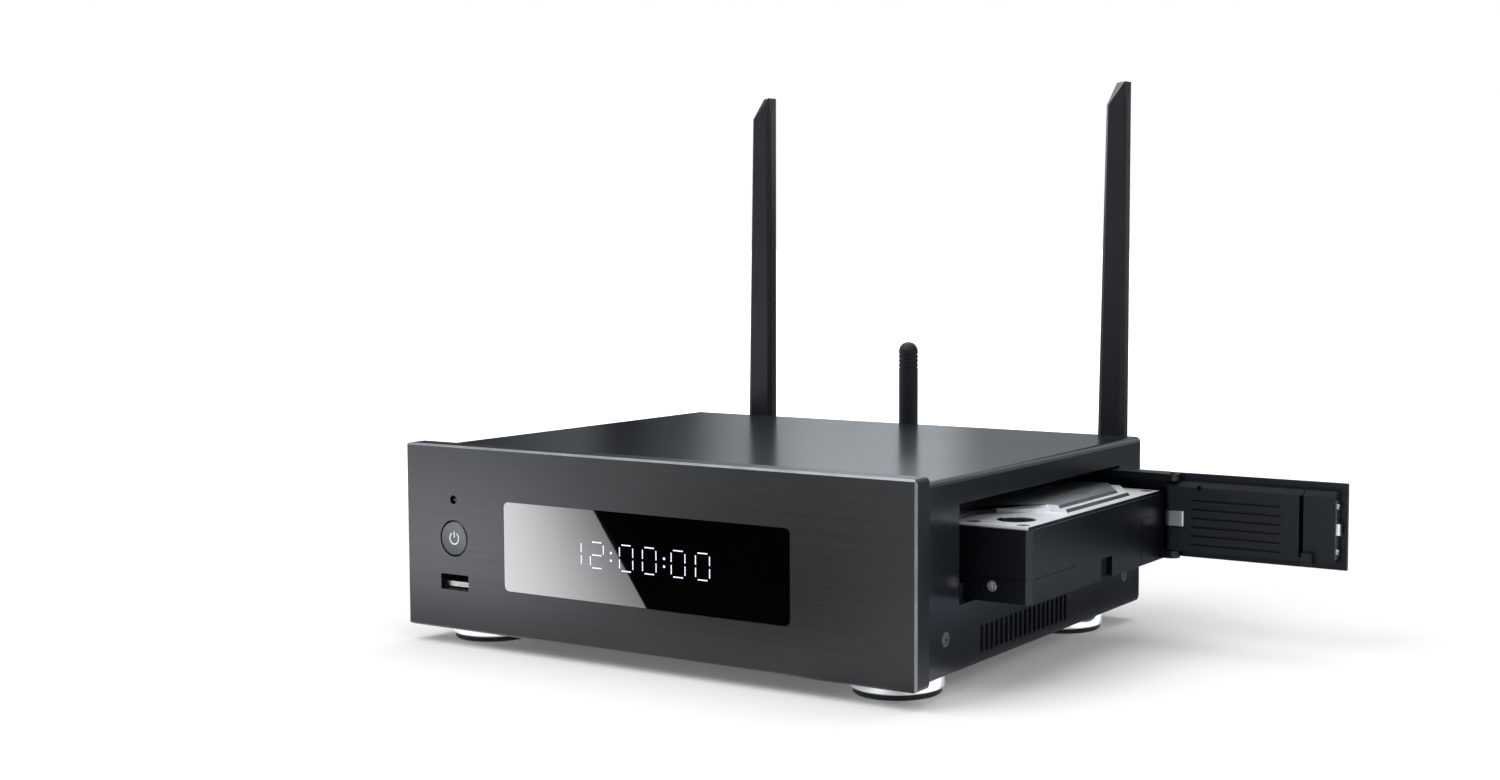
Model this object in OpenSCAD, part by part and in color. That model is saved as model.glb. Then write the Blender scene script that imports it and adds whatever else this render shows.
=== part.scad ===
// Media player with a side-loading hard drive tray.
// Millimetres. Origin: centre of the body's footprint, on the table. X right, Y to the rear, Z up.
// The tray is drawn slid part of the way out, with its door standing open, as it is shown in use.

/* [Body] */
// Width of the front panel
body_w = 203; // [190:1:230]
// Depth behind the tray's mouth, where the rear sockets stand
socket_room = 18.3; // [18:0.1:38]
// Height of the front panel
panel_h = 63; // [62:1:72]
// Thickness of the front panel
panel_t = 7.6; // [7:0.2:9]
// Corner radius of the front panel
panel_r = 1.6; // [1:0.1:2.5]
// Width of the bright chamfer round the front panel
panel_chamfer = 0.7; // [0.4:0.1:1.2]
// How far the cover's sides sit inside the front panel's ends
side_inset = 1.55; // [0.5:0.05:3]
// How far the cover's top sits below the front panel's top
top_drop = 1.95; // [0.5:0.05:3]
// How far the base sits above the front panel's bottom
bottom_rise = 1.5; // [0.5:0.1:3]
// Thickness of the sheet metal
sheet_t = 1.2; // [1:0.1:1.5]
// Outer bend radius of the top cover
bend_r = 1.8; // [1.6:0.1:2.5]

/* [Feet] */
// Clear height under the front panel
foot_gap = 5.7; // [4.5:0.1:10]
// Diameter of a metal foot
foot_d = 29; // [22:0.5:34]
// Diameter of a rubber pad
pad_d = 27.6; // [19:0.2:28]
// Height of rubber that shows below the metal
pad_h = 1.7; // [1.2:0.1:3]
// Distance of the feet from the front panel's ends
foot_side = 19.6; // [18:0.2:30]
// Gap between the front feet and the back of the front panel
foot_front = 0.2; // [0.2:0.2:8]
// Distance of the rear feet in front of the rear face
foot_rear = 27.5; // [18:0.5:35]

/* [Front controls] */
// Width of the display window
window_w = 114.7; // [100:0.5:120]
// Height of the display window
window_h = 30.1; // [26:0.1:32]
// Corner radius of the display window
window_r = 2; // [1:0.1:3]
// Height of the window's centre above the panel's bottom
window_z = 30.4; // [28:0.1:34]
// Distance of the controls' centre line from the panel's left end
control_x = 21.8; // [20:0.1:23]
// Height of the light above the panel's bottom
led_z = 44.5; // [43:0.1:48]
// Diameter of the light
led_d = 2.9; // [2:0.1:4]
// Height of the power button above the panel's bottom
button_z = 31.3; // [31:0.1:33]
// Diameter of the power button
button_d = 12.2; // [9:0.1:13]
// Travel of the power button
button_travel = 0.8; // [0.4:0.1:1]
// Height of the front USB socket above the panel's bottom
usb_z = 16.25; // [15.8:0.05:17]

/* [Tray mouth] */
// Distance of the mouth's front edge behind the front face
mouth_front = 28.6; // [26:0.1:30]
// Free width between the tray and the mouth's front edge
finger_gap = 8.4; // [5:0.1:10]
// Height of the mouth's sill above the panel's bottom
sill_z = 21.5; // [20.5:0.1:22]
// Free height between the door and the mouth
door_gap = 0.8; // [0.5:0.1:1]

/* [Vents] */
// Number of slots in each vent
vent_count = 19; // [8:1:22]
// Width of a slot
vent_w = 1.9; // [1.2:0.1:2.4]
// Height of a slot
vent_h = 8.9; // [6:0.1:9.6]
// Distance between slots
vent_pitch = 3.31; // [3.1:0.01:3.5]
// Distance of the first slot behind the front face
vent_front = 43.3; // [40:0.1:46]
// Height of the slots' centre above the panel's bottom
vent_z = 8.7; // [8:0.1:10]

/* [Drive] */
// Width of the drive
drive_w = 101.6; // [101.2:0.1:101.8]
// Length of the drive
drive_len = 147; // [146:0.1:147.4]
// Height of the drive
drive_h = 25.4; // [25:0.1:26.1]
// Height of each of the two raised steps in the drive's cover
step_h = 1.05; // [0.8:0.05:1.3]
// Thickness of the drive's pressed cover
drive_cover_t = 0.8; // [0.5:0.1:1.2]

/* [Tray] */
// Distance that the tray's face stands out of the body, as shown
tray_out = 19.8; // [10:0.1:30]
// Thickness of the tray's walls
tray_wall = 1.2; // [1:0.1:1.6]
// Chamfer on the tray's upright corners
tray_chamfer = 1.6; // [1:0.1:2]
// Thickness of the arm that carries the door
arm_t = 2.1; // [1.6:0.1:2.4]

/* [Door] */
// Length of the door from its hinge to its free end
door_len = 60.8; // [56:0.1:64]
// Thickness of the door's outer panel
door_t = 2.1; // [1.6:0.1:2.4]
// Thickness of the door's liner
liner_t = 5; // [4.8:0.1:6]
// Height of the door's liner
liner_h = 23.9; // [22:0.1:24.5]
// Number of grooves in the liner
groove_count = 6; // [3:1:7]
// Diameter of the hinge pin
hinge_pin_d = 1.6; // [1.2:0.1:1.8]
// Travel of the latch
latch_travel = 1.6; // [1.4:0.1:2]
// Width of the slot between the liner and the latch
latch_slot = 1.5; // [0.8:0.1:2]

/* [Aerials] */
// Height of the aerial jacks above the panel's bottom
jack_z = 44; // [40:0.5:48]
// Distance of the left aerial from the panel's left end
left_aerial_x = 28.8; // [26:0.1:34]
// Distance of the short aerial from the panel's left end
short_aerial_x = 98.3; // [94:0.1:104]
// Distance of the right aerial from the panel's right end
right_aerial_x = 16.7; // [15:0.1:23]
// Height of a tall aerial's blade above its hinge
blade_len = 146; // [110:1:160]
// Width of a blade at its foot
blade_w = 9; // [9:0.1:11]
// Thickness of a blade at its foot
blade_t = 5.4; // [4.6:0.1:6]
// Height of the short aerial above its hinge
short_len = 48.4; // [40:0.2:60]
// Diameter of the short aerial
short_d = 7.5; // [7:0.1:9]

/* [Hidden] */
$fn = 48;

// Clearances, each used wherever such a fit occurs
seat = 0.3;        // beside a piece that is held or dropped in
run_gap = 0.05;    // radial, between a bore and what turns in it
pin_fit = 0.02;    // radial, between a bore and the pin it holds
slide_gap = 0.3;   // between the tray and what it slides past
button_gap = 0.15; // radial, round the power button
over = 1;          // how far a cutter runs past a face

// Tray's mouth, from which the body's depth follows
tray_w = drive_w + 2 * tray_wall;
barrel_r = liner_t * 0.4;
panel_in = liner_t - barrel_r;
hinge_in = 0.8;
mouth_len = finger_gap + tray_w - hinge_in + panel_in + max(arm_t, door_t) + 1.4;

// Body
body_d = mouth_front + mouth_len + socket_room;
x_left = -body_w / 2;
x_right = body_w / 2;
y_front = -body_d / 2;
y_rear = body_d / 2;
z_panel = foot_gap;
y_panel_back = y_front + panel_t;
wall_x = x_right - side_inset;
cover_top = z_panel + panel_h - top_drop;
base_z = z_panel + bottom_rise;
floor_z = base_z + sheet_t;
inner_x = wall_x - sheet_t;
pan_x = inner_x - seat / 2;
rear_in = y_rear - sheet_t;

// Tray and door. The face is the tray's end that shows; the hinge axis stands just in front of it.
mouth_y = y_front + mouth_front;
tray_y = mouth_y + finger_gap;
tray_end = tray_y + tray_w;
face_x = wall_x + tray_out;
mouth_z = z_panel + sill_z;
tray_z = mouth_z + slide_gap + 0.1;
drive_z = tray_z + 0.3;
drive_top = drive_z + drive_h;
flange_z = drive_top - 2 * step_h;
rim_z = flange_z - drive_cover_t;
ear_r = panel_in - 0.2;
hinge_x = face_x + ear_r + 0.35;
hinge_y = tray_end - hinge_in;
liner_y = hinge_y + panel_in - liner_t;
panel_y = hinge_y + panel_in;
arm_y = panel_y;
arm_end = arm_y + arm_t;
mouth_end = mouth_y + mouth_len;
liner_z = tray_z + 3.3;
door_z = tray_z + 0.7;
door_h = liner_h + 5.2;
mouth_h = door_z + door_h + door_gap - mouth_z;
door_end = hinge_x + door_len;
liner_end = door_end - 2.6;
latch_x = liner_end - 10.8;
// Slide of the tray that brings the shut door's outer face flush with the side wall
tray_in = hinge_x + panel_in + door_t - wall_x;
// Latch: a barb that slides behind a lip at the side of the tray's notch. The notch's ends are
// distances from the hinge, along the door.
lip_t = 0.5;
barb_gap = 0.15;
barb_end = latch_x - hinge_x + 3.8;
notch_end = barb_end + 0.7;
notch_start = barb_end - 7.9;

// Drive bay
bay_floor_z = mouth_z - 0.6;
bay_t = 1;
bay_y0 = mouth_y - 2.2;
bay_y1 = mouth_end + 1.2;
bay_top = mouth_z + mouth_h + 1;
drive_face = face_x - tray_wall - 0.2;
drive_x = drive_face - drive_len;
plug_depth = 3.4;
connector_x = drive_x - tray_in + plug_depth;
board_x = drive_x - tray_in - 4.3;

// Boards
main_z = floor_z + 5;
board_t = 1.6;

// Aerials
jack_h = z_panel + jack_z;
pivot_y = y_rear + 9.5;
aerial_x = [x_left + left_aerial_x, x_left + short_aerial_x, x_right - right_aerial_x];
jack_r = 3.15;
knuckle_r = 4.3;
aerial_pin_r = 1.1;

// Control positions
ctrl_x = x_left + control_x;
window_zc = z_panel + window_z;
screw_y = [y_front + 20.4, y_front + 152];
screw_z = z_panel + 12.4;
panel_screw_x = body_w / 2 - 7;
panel_screw_z = [z_panel + 9, z_panel + panel_h - 9];
foot_y = y_panel_back + foot_front + foot_d / 2;
foot_xy = [
    [x_left + foot_side, foot_y], [x_right - foot_side, foot_y],
    [x_left + foot_side, y_rear - foot_rear], [x_right - foot_side, y_rear - foot_rear]
];
standoff_xy = [
    [-pan_x + 8, y_panel_back + 14], [pan_x - 10, y_panel_back + 14],
    [-pan_x + 8, rear_in - 8], [pan_x - 10, rear_in - 8]
];

module place(x, y, z) {
    translate([x, y, z]) children();
}

// A cylinder along Y, starting at the given y
module rod_y(r, len) {
    rotate([-90, 0, 0]) cylinder(r = r, h = len);
}

module rod_x(r, len) {
    rotate([0, 90, 0]) cylinder(r = r, h = len);
}

// A rectangle with round corners, centred, with true arcs
module round_rect(w, h, r) {
    square([w - 2 * r, h], center = true);
    square([w, h - 2 * r], center = true);
    for (sx = [-1, 1], sy = [-1, 1])
        translate([sx * (w / 2 - r), sy * (h / 2 - r)]) circle(r = r);
}

// A plate in the XZ plane with its front at y = 0, running back by t
module upright_plate(w, h, r, t) {
    rotate([90, 0, 0]) translate([0, 0, -t]) linear_extrude(t) round_rect(w, h, r);
}

module box(lo, hi) {
    translate(lo) cube(hi - lo);
}

// ---- Case

module panel_chamfer_cut() {
    d = panel_chamfer * sqrt(2);
    zc = z_panel + panel_h / 2;
    for (s = [-1, 1]) {
        place(0, y_front, zc + s * panel_h / 2) rotate([45, 0, 0])
            cube([body_w + 2 * over, d, d], center = true);
        place(s * body_w / 2, y_front, zc) rotate([0, 0, 45])
            cube([d, d, panel_h + 2 * over], center = true);
    }
}

module front_panel() {
    color("#4c5258") difference() {
        place(0, y_front, z_panel + panel_h / 2) upright_plate(body_w, panel_h, panel_r, panel_t);
        panel_chamfer_cut();
        // window: a seat for the glass, then a smaller hole for the display tube
        place(0, y_front - over, window_zc)
            upright_plate(window_w, window_h, window_r, over + glass_t + 0.1);
        place(0, y_front, window_zc)
            upright_plate(window_w - 6, window_h - 6, 1, panel_t + over);
        // light and button
        place(ctrl_x, y_front - over, z_panel + led_z) rod_y(led_d / 2 + 0.05, panel_t + 2 * over);
        place(ctrl_x, y_front - over, z_panel + button_z)
            rod_y(button_d / 2 + button_gap, panel_t + 2 * over);
        place(ctrl_x, y_panel_back - 3, z_panel + button_z)
            rod_y(button_d / 2 + 1.5, 3 + over);
        // USB mouth, with a pocket behind it for the socket's shell
        place(ctrl_x, y_front - over, z_panel + usb_z)
            upright_plate(usb_w - 0.8, usb_h - 0.8, 0.4, panel_t + 2 * over);
        place(ctrl_x, y_front + 1.6, z_panel + usb_z)
            upright_plate(usb_w + 2 * seat, usb_h + 2 * seat, 0.4, panel_t);
        // blind holes for the screws from behind
        for (sx = [-1, 1], z = panel_screw_z)
            place(sx * panel_screw_x, y_panel_back - 4, z) rod_y(1.25, 4 + over);
    }
}

glass_t = 2.2;
usb_w = 13.3;
usb_h = 6.2;

module display_window() {
    color("#0b0c0e") place(0, y_front + 0.1, window_zc)
        upright_plate(window_w - 0.2, window_h - 0.2, window_r - 0.1, glass_t);
}

module display_module() {
    tube_y = y_front + glass_t + seat;
    color("#24352b") difference() {
        union() {
            place(0, tube_y, window_zc)
                upright_plate(window_w - 7, window_h - 7, 0.6, panel_t + sheet_t - glass_t + 0.3);
            place(0, tube_y + panel_t + sheet_t - glass_t + 0.2, window_zc)
                upright_plate(window_w + 4, window_h - 1, 1, board_t);
        }
        for (s = [-1, 1])
            place(s * (window_w / 2 - 0.5), tube_y, window_zc - 8) rod_y(1.5, 20);
    }
}

module led_lens() {
    color("#5a0d10") place(ctrl_x, y_front + 0.7, z_panel + led_z) {
        rotate([-90, 0, 0]) rotate_extrude() {
            translate([0, 0.8]) square([led_d / 2, panel_t - 1.5]);
            intersection() {
                translate([0, led_d / 2 + 0.05]) circle(r = led_d / 2 + 0.05);
                square([led_d / 2, 0.81]);
            }
            translate([0, panel_t - 0.7]) square([led_d / 2 + 0.8, 0.8]);
        }
    }
}

module power_button() {
    color("#43484e") place(ctrl_x, 0, z_panel + button_z) difference() {
        rotate([-90, 0, 0]) rotate_extrude() polygon([
            [0, y_front - 0.1], [button_d / 2 - 0.6, y_front - 0.1], [button_d / 2, y_front + 0.5],
            [button_d / 2, y_panel_back - 2.7], [button_d / 2 + 1, y_panel_back - 2.7],
            [button_d / 2 + 1, y_panel_back - 1.7], [2, y_panel_back - 1.7],
            [2, y_panel_back + sheet_t - 0.1], [0, y_panel_back + sheet_t - 0.1]
        ]);
        // a dished face
        place(0, y_front - 60.2, 0) sphere(r = 60.35, $fn = 96);
    }
}

module front_usb_port() {
    color("#b9bcc0") place(ctrl_x, y_front + 1.8, z_panel + usb_z) {
        difference() {
            upright_plate(usb_w, usb_h, 0.4, 14);
            place(0, -over, 0) upright_plate(usb_w - 0.8, usb_h - 1.1, 0.3, 12 + over);
        }
        // contact tongue
        place(0, 0.6, -1) upright_plate(usb_w - 2.2, 1.7, 0.2, 12);
    }
}

module control_board() {
    board_y = y_panel_back + sheet_t + button_travel + 0.4;
    socket_end = y_front + 15.8;
    color("#1f5a3a") difference() {
        union() {
            box([ctrl_x - 8.5, board_y, z_panel + usb_z + 4.5],
                [ctrl_x + 8.5, board_y + board_t, z_panel + led_z + 4]);
            // light source behind the lens
            place(ctrl_x, y_panel_back + 1.1, z_panel + led_z) rod_y(1.2, board_y - y_panel_back - 1);
            // switch behind the power button
            place(ctrl_x, board_y - 0.3, z_panel + button_z) rod_y(1.8, 0.4);
            // the USB socket's small board
            box([ctrl_x - 8.5, y_panel_back + sheet_t + 0.2, z_panel + usb_z - usb_h / 2 - 1.9],
                [ctrl_x + 8.5, socket_end + 1, z_panel + usb_z - usb_h / 2 - 0.3]);
        }
        for (z = [z_panel + usb_z + 7, z_panel + led_z - 4])
            place(ctrl_x + 6, board_y - over, z) rod_y(1.1, 2 * over + board_t);
    }
}

module base_pan() {
    tab = 14;
    color("#33373b") difference() {
        union() {
            box([-pan_x, y_panel_back, base_z], [pan_x, y_rear, floor_z]);
            // front flange that the panel is screwed to
            box([-pan_x, y_panel_back, base_z],
                [pan_x, y_panel_back + sheet_t, cover_top - sheet_t - seat]);
            // side tabs that take the cover's screws
            for (s = [-1, 1], y = screw_y)
                place(s * (pan_x - sheet_t / 2), y, (base_z + screw_z + 5) / 2)
                    cube([sheet_t, tab, screw_z + 5 - base_z], center = true);
        }
        // windows in the front flange
        place(0, y_panel_back - over, window_zc)
            upright_plate(window_w - 5, window_h - 5, 1, sheet_t + 2 * over);
        box([ctrl_x - 9, y_panel_back - over, z_panel + usb_z - usb_h / 2 - 2.4],
            [ctrl_x + 9, y_panel_back + sheet_t + over, z_panel + led_z + 5]);
        // air slots in the floor
        for (i = [-9:9]) place(i * 5.5, 20, base_z - over)
            linear_extrude(sheet_t + 2 * over) round_rect(2.4, 34, 1.19);
        // holes for the screws
        for (s = [-1, 1], y = screw_y)
            place(s * pan_x - 2, y, screw_z) rod_x(1.3, 4);
        for (sx = [-1, 1], z = panel_screw_z)
            place(sx * panel_screw_x, y_panel_back - over, z) rod_y(1.6, sheet_t + 2 * over);
        for (p = foot_xy) place(p.x, p.y, base_z - over) cylinder(r = 1.6, h = sheet_t + 2 * over);
    }
}

// The cover's section, looking along Y
module cover_section() {
    h = cover_top - base_z;
    difference() {
        translate([0, cover_top - h / 2]) difference() {
            translate([0, -bend_r]) round_rect(2 * wall_x, h + 2 * bend_r, bend_r);
            translate([0, -bend_r - sheet_t])
                round_rect(2 * inner_x, h + 2 * bend_r, bend_r - sheet_t);
        }
        translate([-body_w, base_z - 10]) square([2 * body_w, 10]);
    }
}

module cover_vent() {
    for (i = [0:vent_count - 1])
        place(0, y_front + vent_front + i * vent_pitch, z_panel + vent_z)
            rotate([90, 0, 90]) translate([0, 0, -2 * over])
                linear_extrude(4 * over + sheet_t) round_rect(vent_w, vent_h, vent_w / 2 - 0.01);
}

module top_cover() {
    corner_r = 2;
    color("#2c3035") difference() {
        rotate([90, 0, 0]) translate([0, 0, -y_rear])
            linear_extrude(y_rear - y_panel_back) cover_section();
        box([inner_x - over, mouth_y, mouth_z], [wall_x + over, mouth_end, mouth_z + mouth_h]);
        place(inner_x, 0, 0) cover_vent();
        place(-wall_x, 0, 0) cover_vent();
        for (s = [-1, 1], y = screw_y) {
            place(s * wall_x - 2, y, screw_z) rod_x(1.6, 4);
            // countersink
            place(s * wall_x, y, screw_z) rotate([0, -s * 90, 0])
                translate([0, 0, -0.01]) cylinder(r1 = 2.45, r2 = 1.5, h = 0.96);
        }
        // round lower rear corners
        for (s = [-1, 1]) place(s * wall_x - 3, y_rear - corner_r, base_z + corner_r)
            rotate([0, 90, 0]) difference() {
                box([0, 0, 0], [corner_r + over, corner_r + over, 6]);
                cylinder(r = corner_r, h = 6);
            }
    }
}

module rear_panel() {
    z0 = floor_z + 0.1;
    z1 = cover_top - sheet_t - seat;
    color("#2b2f33") difference() {
        box([-pan_x, rear_in, z0], [pan_x, y_rear, z1]);
        for (x = aerial_x) place(x, rear_in - over, jack_h) rod_y(jack_r + 0.05, 2 * over + sheet_t);
        for (p = port_cuts)
            place(p[0], rear_in - over, port_z + p[2] / 2)
                upright_plate(p[1] + 2 * seat, p[2] + 2 * seat, 0.4, 2 * over + sheet_t);
        for (x = audio_x) place(x, rear_in - over, port_z + 5)
            rod_y(audio_r + 0.3, 2 * over + sheet_t);
        place(power_x, rear_in - over, port_z + 5) rod_y(power_r + 0.3, 2 * over + sheet_t);
        // exhaust slots above the sockets
        for (i = [0:11]) place(x_left + 71.5 + i * 5, rear_in - over, z_panel + 53)
            upright_plate(2.2, 8, 1.05, 2 * over + sheet_t);
    }
}

// Rear sockets stand on the mainboard. Each cut is [x, width, height].
port_z = main_z + board_t;
hdmi_x = x_left + 131.5;
network_x = x_left + 153.5;
usb_rear_x = x_left + 105.5;
optical_x = x_left + 83.5;
hdmi_size = [15, 6];
network_size = [16, 13.4];
usb_rear_size = [14.6, 15.8];
optical_size = [10, 10];
audio_x = [x_left + 65.5, x_left + 51.5];
audio_r = 4.2;
power_x = x_left + 21.5;
power_r = 4.2;
port_cuts = [
    [hdmi_x, hdmi_size.x, hdmi_size.y], [network_x, network_size.x, network_size.y],
    [usb_rear_x, usb_rear_size.x, usb_rear_size.y], [optical_x, optical_size.x, optical_size.y]
];

module cover_screws() {
    color("#6b7076") for (s = [-1, 1], y = screw_y)
        place(s * wall_x, y, screw_z) rotate([0, -s * 90, 0]) difference() {
            union() {
                translate([0, 0, 0.05]) cylinder(r1 = 2.3, r2 = 1.25, h = 0.9);
                cylinder(r = 1.25, h = 5);
            }
            for (a = [0, 90]) rotate(a) translate([0, 0, 0.1]) cube([2.6, 0.5, 0.7], center = true);
        }
}

module panel_screws() {
    color("silver") for (sx = [-1, 1], z = panel_screw_z)
        place(sx * panel_screw_x, y_panel_back - 3.6, z) {
            rod_y(1.2, 3.6 + sheet_t);
            place(0, 3.6 + sheet_t, 0) rod_y(2.6, 1.4);
        }
}

// ---- Feet

module foot(p) {
    color("#c9d0d6") place(p.x, p.y, pad_h) difference() {
        rotate_extrude($fn = 96) polygon([
            [0, 0.9], [pad_d / 2 - 1.2, 0.9], [pad_d / 2 - 1.2, 0], [foot_d / 2 - 0.5, 0],
            [foot_d / 2, 0.5], [foot_d / 2, base_z - pad_h], [0, base_z - pad_h]
        ]);
        cylinder(r = 1.65, h = base_z);
        translate([0, 0, 0.8]) cylinder(r = 3.4, h = 2.2);
    }
}

module foot_pad(p) {
    color("#151515") place(p.x, p.y, 0) {
        cylinder(r = pad_d / 2 - 1.4, h = pad_h + 0.9, $fn = 96);
        rotate_extrude($fn = 96) polygon([
            [0, 0], [pad_d / 2 - 0.4, 0], [pad_d / 2, 0.4], [pad_d / 2, pad_h], [0, pad_h]
        ]);
    }
}

module foot_screws() {
    color("silver") for (p = foot_xy) place(p.x, p.y, pad_h + 1.2) {
        cylinder(r = 3, h = 1.7);
        cylinder(r = 1.5, h = floor_z - pad_h + 0.8);
    }
}

// ---- Inside

module mainboard() {
    gap = 0.6;
    color("#1c4f38") difference() {
        box([-pan_x + 3, y_panel_back + 9, main_z], [pan_x - 4, rear_in - 1, main_z + board_t]);
        // slots for the cage's legs
        for (x = bay_leg_x, y = [bay_y0, bay_y1 - bay_t])
            box([x - gap, y - gap, main_z - over],
                [x + bay_leg_w + gap, y + bay_t + gap, main_z + board_t + over]);
        for (p = standoff_xy) place(p.x, p.y, main_z - over) cylinder(r = 1.6, h = board_t + 2 * over);
    }
}

module board_standoffs() {
    color("#b58f3c") for (p = standoff_xy) place(p.x, p.y, floor_z) {
        cylinder(r = 2.6, h = main_z - floor_z, $fn = 6);
        cylinder(r = 1.5, h = main_z + board_t - floor_z);
        place(0, 0, main_z + board_t - floor_z) cylinder(r = 2.6, h = 1.5);
    }
}

module heatsink() {
    x0 = -pan_x + 5;
    w = board_x - 5.6 - x0;
    fin_count = floor((w - 1.2) / 3.6) + 1;
    color("#2f3336") place(x0, -10, main_z + board_t) {
        cube([w, 46, 2.4]);
        for (i = [0:fin_count - 1])
            place(i * (w - 1.2) / (fin_count - 1), 0, 0) cube([1.2, 46, 9.5]);
    }
}

// A sheet cage: floor and two walls, open above and at both ends, on four stands
bay_x0 = board_x + board_t;
bay_x1 = inner_x - 0.3;
bay_leg_w = 18;
bay_leg_x = [bay_x0 + 6, bay_x1 - 30];

module drive_bay() {
    color("#3a3d40") {
        box([bay_x0, bay_y0, bay_floor_z - bay_t], [bay_x1, bay_y1, bay_floor_z]);
        for (y = [bay_y0, bay_y1 - bay_t])
            box([bay_x0, y, bay_floor_z - bay_t], [bay_x1, y + bay_t, bay_top]);
    }
}

// Bent brackets between the floor pan and the cage, with both flanges turned inwards
module bay_stands() {
    flange = 8;
    top = bay_floor_z - bay_t;
    color("#3a3d40") for (x = bay_leg_x, side = [0, 1]) {
        y = side == 0 ? bay_y0 : bay_y1 - bay_t;
        y0 = side == 0 ? y : y - flange + bay_t;
        box([x, y, floor_z], [x + bay_leg_w, y + bay_t, top]);
        for (z = [floor_z, top - bay_t])
            box([x, y0, z], [x + bay_leg_w, y0 + flange, z + bay_t]);
    }
}

// The tray's two side walls ride on these. The front one has an upright guide.
module bay_runners() {
    x1 = inner_x - 2;
    x0 = x1 - 120;
    guide_h = 5;
    color("#2a2c2e") {
        box([x0, tray_y - 2, bay_floor_z], [x1, tray_y + 4, tray_z - slide_gap]);
        box([x0, tray_y - 2, bay_floor_z], [x1, tray_y - 0.4, tray_z + guide_h]);
        box([x0, tray_end - 4, bay_floor_z], [x1, tray_end + 1, tray_z - slide_gap]);
    }
}

module backplane() {
    color("#1c4f38") difference() {
        box([board_x, bay_y0 + 2, main_z + board_t + 0.2],
            [board_x + board_t, bay_y1 - 2, bay_top - 4]);
        for (y = [bay_y0 + 7, bay_y1 - 7], z = [bay_floor_z + 6, bay_top - 9])
            place(board_x - over, y, z) rod_x(1.6, board_t + 2 * over);
    }
}

module drive_connector() {
    color("#17181a") place(board_x + board_t, drive_y + 12, drive_z + 2) difference() {
        cube([connector_x - board_x - board_t, 44, 4.6]);
        // the two blades of the drive's own plug go in these slots
        for (y = [2, 17]) place(connector_x - board_x - board_t - 3, y, 1.6)
            cube([3 + over, y == 2 ? 12 : 24, 1.4]);
    }
}

// ---- Tray

// The tray's plan: a rectangle whose outer front corner is chamfered
module tray_plan(inset, cut) {
    x0 = drive_x - 1.5 + inset;
    x1 = face_x - inset;
    y0 = tray_y + inset;
    y1 = tray_end - inset;
    polygon([[x0, y0], [x1 - cut, y0], [x1, y0 + cut], [x1, y1 - 0.4], [x1 - 0.4, y1], [x0, y1]]);
}

// An open frame: the drive's sides are screwed to its walls
module tray_frame() {
    low_rim = tray_z + 7.4;
    groove = 0.25;
    clip_h = 16;
    color("#1d1f22") difference() {
        translate([0, 0, tray_z]) linear_extrude(rim_z - tray_z) tray_plan(0, tray_chamfer);
        translate([0, 0, tray_z - over]) linear_extrude(rim_z) tray_plan(tray_wall, 0.15);
        // open back end for the connector
        box([drive_x - 3, tray_y + 8, tray_z + 1.5], [drive_x, tray_end - 8, rim_z + over]);
        // the walls are lower towards the back
        box([drive_x - 2, tray_y - over, low_rim], [drive_x + 40, tray_end + over, rim_z + over]);
        // seam round the front corner
        box([face_x - 30, tray_y - over, low_rim], [face_x, tray_y + groove, low_rim + 0.35]);
        box([face_x - groove, tray_y, low_rim], [face_x + over, tray_y + 32, low_rim + 0.35]);
        // clip outline at the hinge end
        box([face_x - groove, tray_end - 20.1, tray_z - over],
            [face_x + over, tray_end - 19.8, tray_z + clip_h + 0.3]);
        box([face_x - groove, tray_end - 20.1, tray_z + clip_h],
            [face_x + over, tray_end - 14, tray_z + clip_h + 0.3]);
        // notch for the latch, and the room behind its lip
        box([face_x - tray_wall - over, hinge_y - notch_end, tray_z - over],
            [face_x + over, hinge_y - notch_start, tray_z + 7]);
        box([face_x - tray_wall - over, hinge_y - notch_end - latch_travel, tray_z - over],
            [face_x - lip_t, hinge_y - notch_start, tray_z + 7]);
        // side screw holes
        for (x = tray_screw_x, y = [tray_y - over, tray_end - tray_wall - over])
            place(x, y, tray_z + 4.8) rod_y(1.75, tray_wall + 2 * over);
    }
}

tray_screw_x = [face_x - 13, face_x - 13 - 101.6];

module tray_arm() {
    arm_x = face_x - 34;
    z0 = door_z - 0.2;
    z1 = door_z + door_h;
    flange_t = 2.3;
    color("#1b1d20") difference() {
        union() {
            box([arm_x, arm_y, z0], [face_x, arm_end, z1]);
            // upper flange with the upper ear
            box([arm_x, liner_y, z1 - flange_t], [face_x, arm_y + 0.1, z1]);
            place(hinge_x, hinge_y, z1 - flange_t) cylinder(r = ear_r, h = flange_t);
            box([face_x - over, hinge_y - ear_r, z1 - flange_t], [hinge_x, hinge_y + ear_r, z1]);
            // lower ear, joined to the arm round the tray's corner
            place(hinge_x, hinge_y, z0) cylinder(r = ear_r, h = liner_z - seat - z0);
            box([face_x + 0.2, hinge_y - ear_r, z0], [hinge_x, hinge_y + ear_r, liner_z - seat]);
            box([face_x - 4, tray_end + seat, z0], [hinge_x, hinge_y + ear_r, liner_z - seat]);
            box([face_x - 4, tray_end + seat, z0], [face_x, arm_y + 0.1, liner_z - seat]);
            // seat on the tray's end wall
            box([arm_x + 4, tray_end, tray_z + 1], [arm_x + 18, arm_y + 0.1, tray_z + 6.4]);
        }
        place(hinge_x, hinge_y, z0 + 0.8) cylinder(r = hinge_pin_d / 2 + pin_fit, h = door_h + 2);
        // bevelled end of the flange, as it shows above the drive
        place(arm_x, liner_y, z1) rotate([0, 45, 0]) cube([3, 30, 3], center = true);
    }
}

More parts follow.
